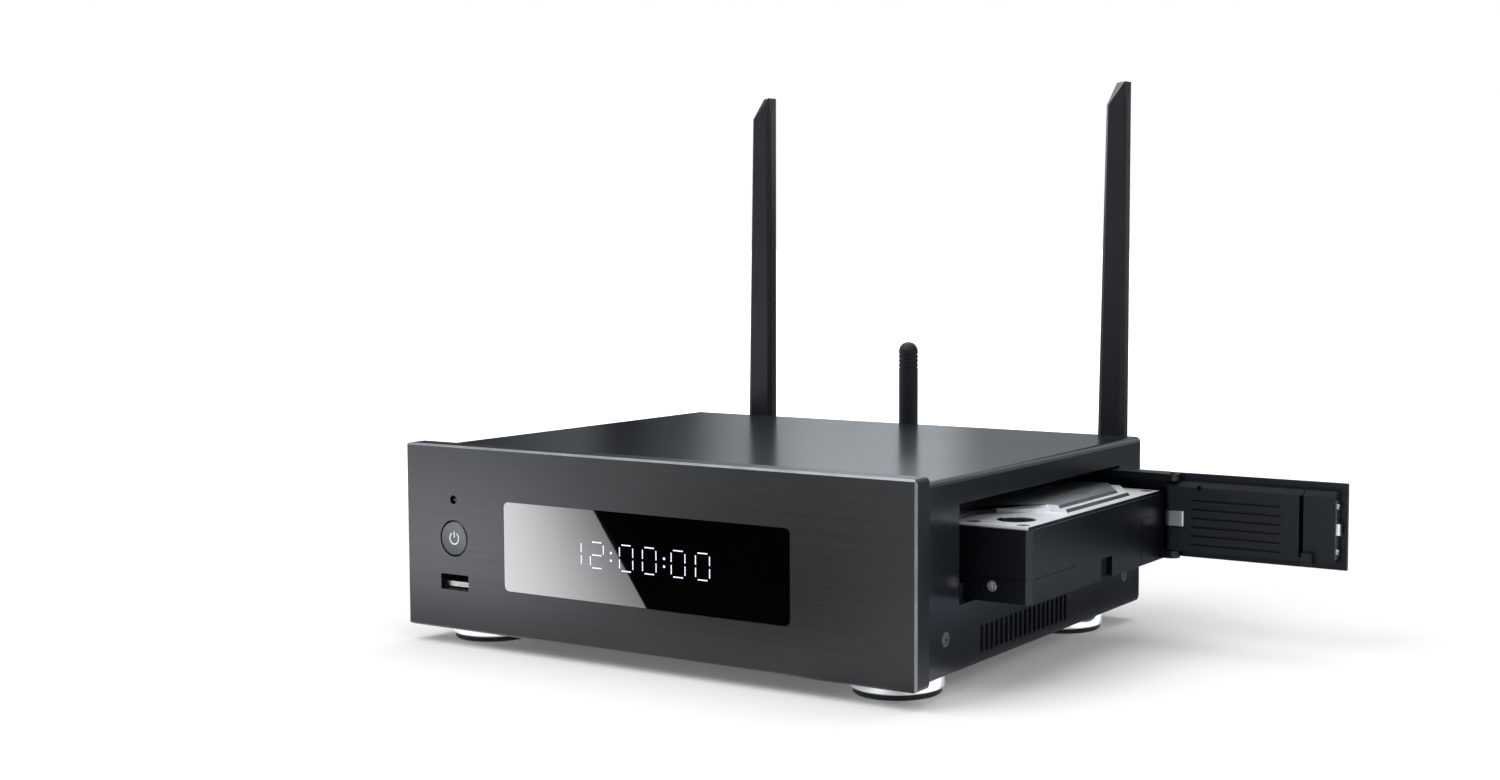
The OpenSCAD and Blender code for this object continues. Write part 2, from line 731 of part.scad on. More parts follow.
// The door's steel knuckle: it turns on the pin and its leaf lies in the liner's inner face
module hinge_ear() {
    z0 = liner_z + ear_rise;
    leaf_end = hinge_x + leaf_len;
    leaf_t = 1.2;
    color("#b6babd") difference() {
        union() {
            place(hinge_x, hinge_y, z0) cylinder(r = ear_r - 0.3, h = ear_h);
            box([hinge_x, liner_y - leaf_out, z0],
                [leaf_end - leaf_t / 2, liner_y - leaf_out + leaf_t, z0 + ear_h]);
            // the leaf's free end is rounded over
            place(leaf_end - leaf_t, liner_y - leaf_out + leaf_t, z0) cylinder(r = leaf_t, h = ear_h);
        }
        place(hinge_x, hinge_y, z0 - over) cylinder(r = hinge_pin_d / 2 + run_gap, h = ear_h + 2 * over);
    }
}

ear_h = 5.2;
ear_rise = 8.7;
leaf_len = 5.1;
leaf_out = 0.6;

module hinge_pin() {
    z0 = door_z + 0.8;
    color("silver") place(hinge_x, hinge_y, z0)
        cylinder(r = hinge_pin_d / 2, h = door_z + door_h + 0.4 - z0);
}

module tray_screws() {
    color("#c4c7ca") for (x = tray_screw_x, s = [0, 1])
        place(x, s == 0 ? tray_y : tray_end, tray_z + 4.8) rotate([0, 0, s * 180]) difference() {
            union() {
                place(0, 0.2, 0) rod_y(1.7, 0.9);
                rod_y(1.2, 4);
            }
            place(0, 0, 0) cube([0.5, 1.2, 2.2], center = true);
        }
}

// ---- Drive

// The drive's plan, its spindle and its cover screws
drive_y = tray_y + tray_wall;
spindle = [drive_face - 10.85, drive_y + 13.5];
spindle_r = 6.2;
cover_screw_xy = [
    [drive_face - 3.4, drive_y + 3.6], [drive_face - 3.4, drive_y + drive_w - 3.6],
    [drive_x + 5, drive_y + 4], [drive_x + 5, drive_y + drive_w - 4],
    [drive_face - 20.4, drive_y + 3.4]
];

// A casting with a cavity for the discs, which the pressed cover closes
module drive_body() {
    wall = 5;
    y1 = drive_y + drive_w;
    cavity_z = drive_z + 12;
    color("#232528") difference() {
        box([drive_x, drive_y, drive_z], [drive_face, y1, rim_z]);
        difference() {
            box([drive_x + wall, drive_y + wall, cavity_z],
                [drive_face - wall, y1 - wall, rim_z + over]);
            for (p = cover_screw_xy)
                place(p.x, p.y, cavity_z - over) cylinder(r = 3, h = drive_h);
            place(spindle.x, spindle.y, cavity_z - over) cylinder(r = spindle_r + 1.5, h = drive_h);
        }
        // stepped underside round the circuit board
        box([drive_x + 22, drive_y + 6, drive_z - over], [drive_face - 20, y1 - 6, drive_z + 2]);
        // recess of the connectors
        box([drive_x - over, drive_y + 11.6, drive_z + 1.6], [drive_x + 4, drive_y + 56.4, drive_z + 7]);
        for (x = tray_screw_x, s = [0, 1])
            place(x, drive_y + s * drive_w - (s == 0 ? over : 5), tray_z + 4.8) rod_y(1.3, 5 + over);
        for (p = cover_screw_xy) place(p.x, p.y, rim_z - 4) cylinder(r = 0.9, h = 4 + over);
        place(spindle.x, spindle.y, rim_z - 1) cylinder(r = spindle_r + 0.3, h = 1 + over, $fn = 96);
    }
}

// Plan of a raised step of the cover. It keeps clear of the spindle's corner, and its far
// corner is cut off.
function step_plan(inset) =
    let (
        x1 = drive_face - 3.45 - inset,
        xn = drive_face - 3.45 - inset * 0.4,
        y1 = drive_y + drive_w - 1 - inset,
        yn = drive_y + 34.6 + inset * 0.3,
        x0 = drive_x + 5 + inset,
        y0 = drive_y + 3.3 + inset
    ) [
        [x1, yn], [x1, y1 - 16.5], [x1 - 10.2, y1], [x0 + 12, y1], [x0, y1 - 12], [x0, y0 + 12],
        [x0 + 12, y0], [xn - 22.8, y0], [xn - 22.8, yn - 20], [xn - 20.3, yn - 9.7], [xn - 6, yn]
    ];

// The steps as one form. Each ring is the plan at an inset and a height, from the lowest up.
module pressed_form(rings) {
    n = len(step_plan(0));
    last = len(rings) - 1;
    polyhedron([for (r = rings) for (p = step_plan(r[0])) [p.x, p.y, r[1]]], concat(
        [[for (i = [0:n - 1]) i]],
        [[for (i = [n - 1:-1:0]) last * n + i]],
        [for (k = [0:last - 1], i = [0:n - 1])
            [k * n + i, (k + 1) * n + i, k * n + (i + 1) % n]],
        [for (k = [0:last - 1], i = [0:n - 1])
            [k * n + (i + 1) % n, (k + 1) * n + i, (k + 1) * n + (i + 1) % n]]
    ));
}

module drive_cover() {
    run = 0.7;
    second = 3.1;
    color("#c3c6c9") difference() {
        union() {
            box([drive_x + 1, drive_y + 0.1, rim_z], [drive_face, drive_y + drive_w - 0.1, flange_z]);
            pressed_form([
                [0, flange_z - 0.2], [run, flange_z + step_h],
                [second, flange_z + step_h], [second + run, flange_z + 2 * step_h]
            ]);
        }
        // hollow behind the raised steps
        translate([0, 0, rim_z - over]) linear_extrude(over + 2 * step_h)
            polygon(step_plan(second + run + drive_cover_t));
        for (p = cover_screw_xy) place(p.x, p.y, rim_z - over) {
            cylinder(r = 1.1, h = 3);
            translate([0, 0, over + 0.3]) cylinder(r = 2.1, h = 3);
        }
        place(spindle.x, spindle.y, rim_z - over) cylinder(r = spindle_r, h = 3, $fn = 96);
    }
}

module spindle_cap() {
    color("#1a1b1d") place(spindle.x, spindle.y, rim_z - 1) difference() {
        rotate_extrude($fn = 96) polygon([
            [0, 0], [spindle_r - 0.1, 0], [spindle_r - 0.1, 1.5], [3, 1.5], [2.6, 1.1], [0, 1.1]
        ]);
        for (a = [0:60:300]) rotate(a) translate([5.6, 0, 0.9]) cylinder(r = 0.6, h = 1);
    }
}

module drive_cover_screws() {
    color("#8e9296") for (p = cover_screw_xy) place(p.x, p.y, rim_z) difference() {
        union() {
            translate([0, 0, 0.3]) cylinder(r = 1.9, h = 0.5);
            translate([0, 0, -3.6]) cylinder(r = 0.85, h = 4);
        }
        translate([0, 0, 0.5]) cylinder(r = 0.8, h = 1, $fn = 6);
    }
}

// ---- Door

module door_panel() {
    x0 = face_x + 0.4;
    chamfer = 0.9;
    color("#1f2124") difference() {
        box([x0, panel_y, door_z], [door_end, panel_y + door_t, door_z + door_h]);
        // bevels along the free end and the top, on the outside
        place(door_end, panel_y + door_t, 0) rotate([0, 0, 45])
            cube([chamfer, chamfer, 200], center = true);
        place(0, panel_y + door_t, door_z + door_h) rotate([45, 0, 0])
            cube([600, chamfer, chamfer], center = true);
    }
}

module door_liner() {
    groove_x = [hinge_x + 7.8, hinge_x + 39.6];
    groove_z = [liner_z + 2.6, liner_z + liner_h - 6];
    pitch = (groove_z[1] - groove_z[0]) / (groove_count - 1);
    ear_z = liner_z + ear_rise;
    bevel = 2.2;
    color("#202225") difference() {
        union() {
            box([hinge_x, liner_y, liner_z], [latch_x - 0.3, panel_y, liner_z + liner_h]);
            place(hinge_x, hinge_y, liner_z) cylinder(r = barrel_r, h = liner_h);
        }
        // hinge bore and room for the steel ear
        place(hinge_x, hinge_y, liner_z - over)
            cylinder(r = hinge_pin_d / 2 + run_gap, h = liner_h + 2 * over);
        place(hinge_x, hinge_y, ear_z - seat) cylinder(r = ear_r, h = ear_h + 2 * seat);
        box([hinge_x, liner_y - over, ear_z - 0.05],
            [hinge_x + leaf_len + 0.05, liner_y + 1.9, ear_z + ear_h + 0.05]);
        // slot beside the latch, and the one that guides its stem
        box([latch_x - latch_slot, liner_y - over, liner_z + 1.4],
            [latch_x + over, panel_y + over, liner_z + liner_h - 1.6]);
        latch_stem(0.2, latch_x - 9.6);
        // bevelled upper edge of the inner face
        place(0, liner_y, liner_z + liner_h) rotate([45, 0, 0])
            cube([600, bevel, bevel], center = true);
        // grooves
        for (i = [0:groove_count - 1])
            box([groove_x[0], liner_y - over, groove_z[0] + i * pitch - 0.35],
                [groove_x[1], liner_y + 0.8, groove_z[0] + i * pitch + 0.35]);
        // pin hole
        place(hinge_x + 10.4, liner_y - over, liner_z + liner_h - 1.7) rod_y(0.9, 3);
    }
}

// The latch's stem, or with a gap, the slot it slides in
module latch_stem(gap, x0) {
    zm = liner_z + liner_h / 2;
    box([x0, panel_y - 3.4 - gap, zm - 4 - gap], [latch_x + 0.1, panel_y - 1.6 + gap, zm + 4 + gap]);
}

module latch_slider() {
    bevel = 2.2;
    barb_y = hinge_y - (hinge_x - face_x) - tray_wall;
    barb_z = tray_z + 2;
    color("#1c1e21") difference() {
        union() {
            box([latch_x, liner_y, liner_z], [liner_end, panel_y - 0.1, liner_z + liner_h]);
            latch_stem(0, latch_x - 9);
            // arm and barb
            box([latch_x + 0.1, barb_y, barb_z], [latch_x + 2.5, liner_y + 2, tray_z + 6.6]);
            box([latch_x + 0.1, barb_y, barb_z],
                [hinge_x + barb_end, barb_y + tray_wall - lip_t - barb_gap, tray_z + 6.6]);
        }
        place(0, liner_y, liner_z + liner_h) rotate([45, 0, 0])
            cube([600, bevel, bevel], center = true);
        // seat of the plate on the end
        box([liner_end - 0.6, liner_y + 0.7, liner_z + 1.2],
            [liner_end + over, panel_y - 0.8, liner_z + liner_h - 2.4]);
    }
}

module latch_plate() {
    x0 = liner_end - 0.6;
    zm = liner_z + liner_h / 2;
    color("#c8cbce") {
        box([x0, liner_y + 0.9, liner_z + 1.4], [x0 + 0.8, panel_y - 1, liner_z + liner_h - 2.6]);
        // two rivet heads and the tongue
        for (z = [zm - 8.2, zm + 7])
            place(x0 + 0.7, (liner_y + panel_y) / 2, z) rod_x(1, 0.7);
        box([x0 + 0.7, liner_y + 1.3, zm - 2.4], [x0 + 1.9, panel_y - 1.4, zm + 1.4]);
    }
}

// ---- Rear sockets

module hdmi_port() {
    color("#b9bcc0") place(hdmi_x, y_rear - 11, port_z + hdmi_size.y / 2) {
        difference() {
            upright_plate(hdmi_size.x, hdmi_size.y, 0.4, 11.4);
            place(0, 2, 0) upright_plate(hdmi_size.x - 1, hdmi_size.y - 1.2, 0.3, 11);
        }
        place(0, 1, 0) upright_plate(hdmi_size.x - 4, 1.2, 0.2, 9.4);
    }
}

module network_port() {
    color("#b9bcc0") place(network_x, y_rear - 16, port_z + network_size.y / 2) difference() {
        upright_plate(network_size.x, network_size.y, 0.4, 16.6);
        place(0, 5, -0.4) upright_plate(11.8, 8.6, 0.3, 14);
        place(0, 5, -5.1) upright_plate(6, 2.4, 0.2, 14);
    }
}

module rear_usb_ports() {
    inner = usb_rear_size.x - 1.8;
    color("#b9bcc0") place(usb_rear_x, y_rear - 14, port_z + usb_rear_size.y / 2) {
        difference() {
            upright_plate(usb_rear_size.x, usb_rear_size.y, 0.4, 14.6);
            for (s = [-1, 1]) place(0, 2, s * 3.9) upright_plate(inner, 5.2, 0.3, 14);
        }
        for (s = [-1, 1]) place(0, 1, s * 3.9 + 1) upright_plate(inner - 1.6, 1.8, 0.2, 11.6);
    }
}

module audio_jacks() {
    color("#202225") for (x = audio_x) place(x, y_rear - 10, port_z + 5) {
        difference() {
            union() {
                place(0, 5, 0) upright_plate(10, 10, 0.5, 4.8 - sheet_t);
                rod_y(audio_r, 18);
            }
            rod_y(1.6, 20);
        }
    }
}

module optical_port() {
    color("#17181a") place(optical_x, y_rear - 12, port_z + optical_size.y / 2) difference() {
        upright_plate(optical_size.x, optical_size.y, 0.4, 12.4);
        // the spring flap closes this shallow recess
        place(0, 11, 0) upright_plate(6, 6, 0.8, 2);
    }
}

module power_socket() {
    color("#17181a") place(power_x, y_rear - 12, port_z + 5) difference() {
        union() {
            place(0, 0, 0) upright_plate(9.6, 10, 0.5, 12 - sheet_t - 0.1);
            rod_y(power_r, 13);
        }
        difference() {
            place(0, 3, 0) rod_y(2.8, 12);
            place(0, 3, 0) rod_y(1, 9);
        }
    }
}

// ---- Aerials

// A threaded jack: hexagon flange inside, barrel through the panel, washer and nut outside
module jack(x) {
    color("#c2a45a") place(x, 0, jack_h) {
        place(0, rear_in - 2.2, 0) rotate([-90, 30, 0]) cylinder(r = 4.6, h = 2.2, $fn = 6);
        place(0, rear_in - 5, 0) rod_y(jack_r - 0.6, 5);
        place(0, rear_in, 0) rod_y(jack_r, pivot_y - knuckle_r - 1.2 - rear_in);
        place(0, y_rear, 0) rotate([-90, 30, 0]) cylinder(r = 4.4, h = 1, $fn = 6);
    }
}

// The sleeve turns on the jack and ends in a flat tongue that the aerial hinges on
module swivel_base(x, r) {
    sleeve_end = pivot_y - knuckle_r - 0.3;
    tongue_t = 3;
    color("#1b1d1f") place(x, 0, jack_h) difference() {
        union() {
            place(0, y_rear + 1 + seat, 0) rod_y(r, sleeve_end - y_rear - 1 - seat);
            place(-tongue_t / 2, pivot_y, 0) rod_x(knuckle_r - 0.5, tongue_t);
            box([-tongue_t / 2, sleeve_end - 0.4, -knuckle_r + 0.5],
                [tongue_t / 2, pivot_y, knuckle_r - 0.5]);
        }
        place(0, y_rear, 0) rod_y(jack_r + run_gap, sleeve_end - 0.7 - y_rear);
        place(-over - tongue_t / 2, pivot_y, 0)
            rod_x(aerial_pin_r + run_gap, tongue_t + 2 * over);
        // grip flats
        for (a = [0:30:330]) rotate([0, a, 0])
            place(r + 0.5, y_rear + 0.5, 0) rod_y(0.8, 3.4);
    }
}

module hinge_fork(w, depth) {
    slot_w = 3.6;
    difference() {
        children();
        box([-slot_w / 2, pivot_y - 20, -knuckle_r - over],
            [slot_w / 2, pivot_y + 20, knuckle_r + 0.4]);
        place(-w, pivot_y, 0) rod_x(aerial_pin_r + pin_fit, 2 * w);
    }
}

// A tall blade: bevelled section that narrows towards a slanted tip
function blade_ring(w, t, shift, z) = let (b = 1.3) [
    for (p = [[-w / 2, b - t / 2], [b - w / 2, -t / 2], [w / 2 - b, -t / 2], [w / 2, b - t / 2],
              [w / 2, t / 2 - b], [w / 2 - b, t / 2], [b - w / 2, t / 2], [-w / 2, t / 2 - b]])
        [p[0] + shift, p[1], z]
];

module blade(x) {
    tip_w = blade_w - 0.7;
    tip_t = blade_t - 1.2;
    cut_h = 8.3;
    lean = 1.1;
    // up to here the blade's sides are square to its hinge pin
    straight_h = knuckle_r + 0.6;
    color("#1a1c1e") place(x, 0, jack_h) {
        hinge_fork(blade_w, blade_t) union() {
            place(-blade_w / 2, pivot_y, 0) rod_x(knuckle_r, blade_w);
            place(0, pivot_y, 0) {
                linear_extrude(straight_h)
                    polygon([for (p = blade_ring(blade_w, blade_t, 0, 0)) [p[0], p[1]]]);
                // the tip is cut back to the left, and its front corner is cut away
                hull() polyhedron(
                    points = concat(
                        blade_ring(blade_w, blade_t, 0, straight_h),
                        blade_ring(tip_w, tip_t, lean, blade_len - cut_h),
                        [[lean + tip_w / 2 - 0.3, 0.3 - tip_t / 2, blade_len],
                         [lean + tip_w / 2, tip_t / 2 - 0.4, blade_len],
                         [lean - tip_w * 0.26, tip_t / 2, blade_len]]),
                    faces = [for (i = [0:16]) [i, i + 1, i + 2]]);
            }
        }
    }
}

module short_aerial() {
    color("#1a1c1e") place(aerial_x[1], 0, jack_h) hinge_fork(short_d, short_d) union() {
        place(-short_d / 2, pivot_y, 0) rod_x(knuckle_r - 0.5, short_d);
        place(0, pivot_y, 0) difference() {
            union() {
                cylinder(r = short_d / 2, h = short_len - short_d / 2);
                place(0, 0, short_len - short_d / 2) sphere(r = short_d / 2);
            }
            // fine rings under the dome
            for (i = [0:3]) place(0, 0, short_len - 5.2 - i * 1.7) difference() {
                cylinder(r = short_d, h = 0.5);
                translate([0, 0, -over]) cylinder(r = short_d / 2 - 0.25, h = 0.5 + 2 * over);
            }
        }
    }
}

module aerial_pin(x, w) {
    color("silver") place(x - w / 2 + 0.4, pivot_y, jack_h) rod_x(aerial_pin_r, w - 0.8);
}

front_panel();
display_window();
display_module();
led_lens();
power_button();
front_usb_port();
control_board();
base_pan();
top_cover();
rear_panel();
cover_screws();
panel_screws();
foot(foot_xy[0]);  // foot_front_left
foot(foot_xy[1]);  // foot_front_right
foot(foot_xy[2]);  // foot_rear_left
foot(foot_xy[3]);  // foot_rear_right
foot_pad(foot_xy[0]);  // pad_front_left
foot_pad(foot_xy[1]);  // pad_front_right
foot_pad(foot_xy[2]);  // pad_rear_left
foot_pad(foot_xy[3]);  // pad_rear_right
foot_screws();
mainboard();
board_standoffs();
heatsink();
drive_bay();
bay_stands();
bay_runners();
backplane();
drive_connector();
tray_frame();
tray_arm();
hinge_ear();
hinge_pin();
tray_screws();
drive_body();
drive_cover();
spindle_cap();
drive_cover_screws();
door_panel();
door_liner();
latch_slider();
latch_plate();
hdmi_port();
network_port();
rear_usb_ports();
audio_jacks();
optical_port();
power_socket();
jack(aerial_x[0]);  // jack_left
jack(aerial_x[1]);  // jack_short
jack(aerial_x[2]);  // jack_right
swivel_base(aerial_x[0], 4.6);  // base_left
swivel_base(aerial_x[1], 4.2);  // base_short
swivel_base(aerial_x[2], 4.6);  // base_right
blade(aerial_x[0]);  // blade_left
short_aerial();
blade(aerial_x[2]);  // blade_right
aerial_pin(aerial_x[0], blade_w);  // pin_left
aerial_pin(aerial_x[1], short_d);  // pin_short
aerial_pin(aerial_x[2], blade_w);  // pin_right
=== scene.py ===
"""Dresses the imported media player: camera, studio, materials and the fine detail of each piece."""

import math

import bmesh
import bpy
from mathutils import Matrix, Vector


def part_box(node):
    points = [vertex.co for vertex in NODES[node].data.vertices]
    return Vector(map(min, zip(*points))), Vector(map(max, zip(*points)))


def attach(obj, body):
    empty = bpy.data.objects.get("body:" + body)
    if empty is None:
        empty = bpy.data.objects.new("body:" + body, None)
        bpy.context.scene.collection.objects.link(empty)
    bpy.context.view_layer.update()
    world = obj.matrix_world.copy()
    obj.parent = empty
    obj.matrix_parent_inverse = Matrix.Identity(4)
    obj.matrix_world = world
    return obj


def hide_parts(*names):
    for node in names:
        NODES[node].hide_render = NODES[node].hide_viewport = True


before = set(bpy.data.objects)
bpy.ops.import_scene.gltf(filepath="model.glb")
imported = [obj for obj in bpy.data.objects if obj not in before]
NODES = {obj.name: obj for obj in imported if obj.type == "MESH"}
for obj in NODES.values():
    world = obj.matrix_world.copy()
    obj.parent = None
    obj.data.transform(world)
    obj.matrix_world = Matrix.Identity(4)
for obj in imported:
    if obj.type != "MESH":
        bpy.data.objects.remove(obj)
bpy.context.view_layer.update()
scene = bpy.context.scene

MM = 0.001              # a millimetre in metres
PER_METRE = 1000        # millimetres in a metre
WHITE = (1, 1, 1, 1)

# the camera, fitted to the edges of the case: place in mm, angles in degrees
CAMERA_PLACE = (374.69, -555.14, 136.8)
CAMERA_DOWN = 4.406
CAMERA_TURN = 31.23
CAMERA_LENS = 45.663
CAMERA_SHIFT = -0.08467

# the lamps: name, place and aim in metres, side of the square in metres, power in watts
LAMPS = (
    ("key", (-0.50, -0.80, 1.25), (0, 0, 0.03), 1.1, 10.5),
    ("top", (0.05, 0.30, 1.5), (0, 0, 0.03), 1.4, 9.0),
    ("fill", (1.00, -0.60, 0.80), (0.1, 0, 0.04), 0.5, 2.2),
)

FLOOR_RADIUS = 40.0     # metres
FLOOR_NEAR = 0.25       # metres from the middle, where the floor starts to turn white for the camera
FLOOR_FAR = 0.9         # and where it is fully white
FLOOR_LIFT = 0.11       # glow that the camera sees in the floor near the object
GLOSS_LIFT = 0.4        # glow that reflections see in it
CARD_LEVEL = 0.5        # mm, height of the cards that lie on the floor

# the clock's digits, in mm
DIGIT_LOW, DIGIT_HIGH = 32.3, 40.7
DIGIT_CORNER = 0.75         # how far a bar stops short of the digit's corner
DIGIT_WAIST = 0.6           # share of that, for the bars that end at the middle
STROKE = 0.36               # width of a lit stroke
STROKE_ROUND = 0.12         # radius of its corners
STROKES = 4                 # strokes in a bar
STROKE_ENDS = (0.06, 0.94)  # where a stroke starts and ends in its share of the bar
COLON_RISE = 1.25           # from the middle to each dot
COLON_HALF = 0.36           # half a dot's width
COLON_ROUND = 0.15
LIT_FRONT, LIT_BACK = 0.04, 0.01    # in front of the window's face

# the power mark, in mm and degrees
PANEL_FACE = -82.5          # y of the front panel's face
DISH_CENTRE = 60.2          # from the dish's centre, which lies in front of it, to the panel's face
DISH_RADIUS = 60.35
MARK_INNER, MARK_OUTER = 1.75, 2.2  # radii of the open ring
MARK_START, MARK_SWEEP = 125, 290
MARK_STEPS = 30
MARK_BAR = (0.24, 0.3, 2.4, 0.2)    # the bar's half width, lower end, upper end and round
MARK_FRONT, MARK_BACK = -0.05, 0.01     # y from the dish

# the blades' fuller skins, in mm above the foot, and as shares
HINGE_ZONE = 6
SLOT_HALF = 2.0         # half the fork's slot, which keeps its width
FOOT_SHARE = 0.65       # the foot's width runs out at this share of the height
THICKER = 0.40
THICKER_FROM, THICKER_OVER = 9, 12


# ---------------------------------------------------------------- camera

def make_camera():
    cam = bpy.data.cameras.new("camera")
    cam.sensor_width = 36.0
    cam.sensor_fit = "HORIZONTAL"
    cam.lens = CAMERA_LENS
    cam.shift_x = CAMERA_SHIFT
    cam.clip_start = 0.01
    obj = bpy.data.objects.new("camera", cam)
    obj.location = Vector(CAMERA_PLACE) * MM
    obj.rotation_euler = (math.radians(90 - CAMERA_DOWN), 0.0, math.radians(CAMERA_TURN))
    scene.collection.objects.link(obj)
    scene.camera = obj
    scene.view_settings.view_transform = "Standard"


# ---------------------------------------------------------------- node trees

class Nodes:
    """A short way to write the node tree of a material or world."""

    def __init__(self, owner, out="OutputMaterial"):
        owner.use_nodes = True
        self.owner = owner
        self.tree = owner.node_tree
        self.tree.nodes.clear()
        self.out = self.add(out)

    def put(self, socket, source):
        """Links a socket to another one, or gives it a fixed value."""
        if isinstance(source, bpy.types.NodeSocket):
            self.tree.links.new(source, socket)
        else:
            socket.default_value = source

    def add(self, kind, *sources, **named):
        """A node. The sources go to its first inputs, and what is named to settings or inputs."""
        node = self.tree.nodes.new("ShaderNode" + kind)
        for key, source in named.items():
            if hasattr(node, key):
                setattr(node, key, source)
            else:
                self.put(node.inputs[key.replace("_", " ")], source)
        for socket, source in zip(node.inputs, sources):
            self.put(socket, source)
        return node

    def finish(self, shader):
        self.put(self.out.inputs["Surface"], shader)

    def surface(self, **named):
        """The principled shader, as the tree's result."""
        self.finish(self.add("BsdfPrincipled", **named).outputs["BSDF"])

    def maths(self, operation, *terms):
        return self.add("Math", *terms, operation=operation).outputs[0]

    def coords(self, scale=(1, 1, 1)):
        """Coordinates of the shared frame in millimetres, stretched by scale."""
        place = self.add("TexCoord").outputs["Object"]
        stretch = [s * PER_METRE for s in scale]
        return self.add("Mapping", Vector=place, Scale=stretch).outputs["Vector"]

    def along(self, vector, axis):
        """How far a point lies along an axis."""
        return self.add("VectorMath", vector, axis, operation="DOT_PRODUCT").outputs["Value"]

    def away(self, vector, counts):
        """How far a point lies from the origin. counts is 1 for the axes that count, and 0 for the other."""
        flat = self.add("VectorMath", vector, counts, operation="MULTIPLY").outputs["Vector"]
        return self.add("VectorMath", flat, operation="LENGTH").outputs["Value"]

    def noise(self, vector, scale, detail=3.0, rough=0.55):
        return self.add("TexNoise", Vector=vector, Scale=scale, Detail=detail, Roughness=rough).outputs["Fac"]

    def ramp(self, fac, lo, hi, a=0.3, b=0.7, kind="LINEAR"):
        """Maps fac from a..b to lo..hi."""
        return self.add("MapRange", interpolation_type=kind, Value=fac, From_Min=a, From_Max=b,
                        To_Min=lo, To_Max=hi).outputs["Result"]

    def fall(self, vector, axis, start, end, lo, hi):
        """A soft change from lo to hi along an axis."""
        return self.ramp(self.along(vector, axis), lo, hi, start, end, "SMOOTHSTEP")

    def curve(self, vector, axis, start, end, stops):
        """Values at stops along an axis, with soft steps between them."""
        node = self.add("ValToRGB", self.ramp(self.along(vector, axis), 0, 1, start, end))
        bands = node.color_ramp.elements
        node.color_ramp.interpolation = "EASE"
        while len(bands) < len(stops):
            bands.new(0.5)
        for band, (at, level) in zip(bands, stops):
            band.position = (at - start) / (end - start)
            band.color = (level, level, level, 1)
        return node.outputs["Color"]

    def tint(self, fac, dark, light, a=0.3, b=0.7):
        """A colour that goes from dark at a to light at b."""
        node = self.add("ValToRGB", fac)
        for band, at, colour in zip(node.color_ramp.elements, (a, b), (dark, light)):
            band.position = at
            band.color = (*colour, 1)
        return node.outputs["Color"]

    def bump(self, height, depth):
        """A normal from a height. The depth is in mm."""
        return self.add("Bump", Height=height, Strength=1.0, Distance=depth * MM).outputs["Normal"]


def material_nodes(name):
    return Nodes(bpy.data.materials.new(name))


# ---------------------------------------------------------------- finishes

def brushed(name, dark, light, rough, along="x", pitch=0.10):
    """Metal brushed along one axis of the shared frame, with lines a pitch apart in mm."""
    n = material_nodes(name)
    lines = n.noise(n.coords([0.006 if axis == along else 1 / pitch for axis in "xyz"]), 0.5, 3.0, 0.6)
    cloud = n.noise(n.coords(), 0.02, 2.0)
    shade = n.maths("MULTIPLY_ADD", cloud, 0.35, lines)
    n.surface(Metallic=1.0, Base_Color=n.tint(shade, dark, light, 0.45, 0.9),
              Roughness=n.ramp(lines, rough - 0.06, rough + 0.08), Normal=n.bump(lines, 0.004))
    return n.owner


def grained(name, dark, light, rough, grain=0.25, depth=0.01, metallic=0.0, specular=0.5, spread=0.05,
            coat=0.0):
    """Painted metal or moulded plastic: a fine grain with slow changes of shade and gloss."""
    n = material_nodes(name)
    at = n.coords()
    fine = n.noise(at, 1 / grain, 2.0, 0.6)
    slow = n.noise(at, 0.025)
    lacquer = {"Coat_Weight": coat, "Coat_Roughness": 0.12} if coat else {}
    n.surface(Metallic=metallic, Specular_IOR_Level=specular, Base_Color=n.tint(slow, dark, light),
              Roughness=n.ramp(slow, rough - spread, rough + spread), Normal=n.bump(fine, depth), **lacquer)
    return n.owner


def plain_metal(name, dark, light, rough, depth=0.002, scale=0.8):
    """Plated or pressed metal with faint clouds and a fine unevenness."""
    n = material_nodes(name)
    at = n.coords()
    fine = n.noise(at, scale, 4.0, 0.6)
    slow = n.noise(at, 0.12, 2.0)
    n.surface(Metallic=1.0, Base_Color=n.tint(slow, dark, light),
              Roughness=n.ramp(fine, rough * 0.8, rough * 1.3), Normal=n.bump(fine, depth))
    return n.owner


def turned(name, dark, light, rough, centre, pitch=0.09):
    """Metal turned on a lathe, with rings a pitch apart in mm round a line along y through the centre."""
    n = material_nodes(name)
    place = n.add("Mapping", Vector=n.add("TexCoord").outputs["Object"], Location=[-c for c in centre])
    rings = n.maths("MULTIPLY", n.away(place.outputs["Vector"], (1, 0, 1)), PER_METRE / pitch)
    tone = n.add("TexNoise", noise_dimensions="1D", W=rings, Scale=0.5, Detail=2.0).outputs["Fac"]
    n.surface(Metallic=1.0, Base_Color=n.tint(tone, dark, light),
              Roughness=n.ramp(tone, rough - 0.05, rough + 0.08), Normal=n.bump(tone, 0.004))
    return n.owner


def glow(name, colour, strength):
    """A lit surface, a little uneven."""
    n = material_nodes(name)
    level = n.noise(n.coords(), 1.4, 1.0)
    n.surface(Roughness=0.4, Base_Color=(*colour, 1), Emission_Color=(*colour, 1),
              Emission_Strength=n.ramp(level, strength * 0.85, strength * 1.1))
    return n.owner


def window_black():
    """The display's nearly black glass."""
    n = material_nodes("window_black")
    haze = n.noise(n.coords(), 0.05, 2.0)
    n.surface(IOR=2.1, Base_Color=n.tint(haze, (0.0003, 0.0003, 0.0004), (0.0005, 0.0005, 0.0006)),
              Roughness=n.ramp(haze, 0.015, 0.03))
    return n.owner


def lens_red():
    """The unlit red lens."""
    n = material_nodes("lens_red")
    cloud = n.noise(n.coords(), 1.2)
    n.surface(Roughness=0.12, Base_Color=n.tint(cloud, (0.03, 0.004, 0.008), (0.10, 0.012, 0.02)))
    return n.owner


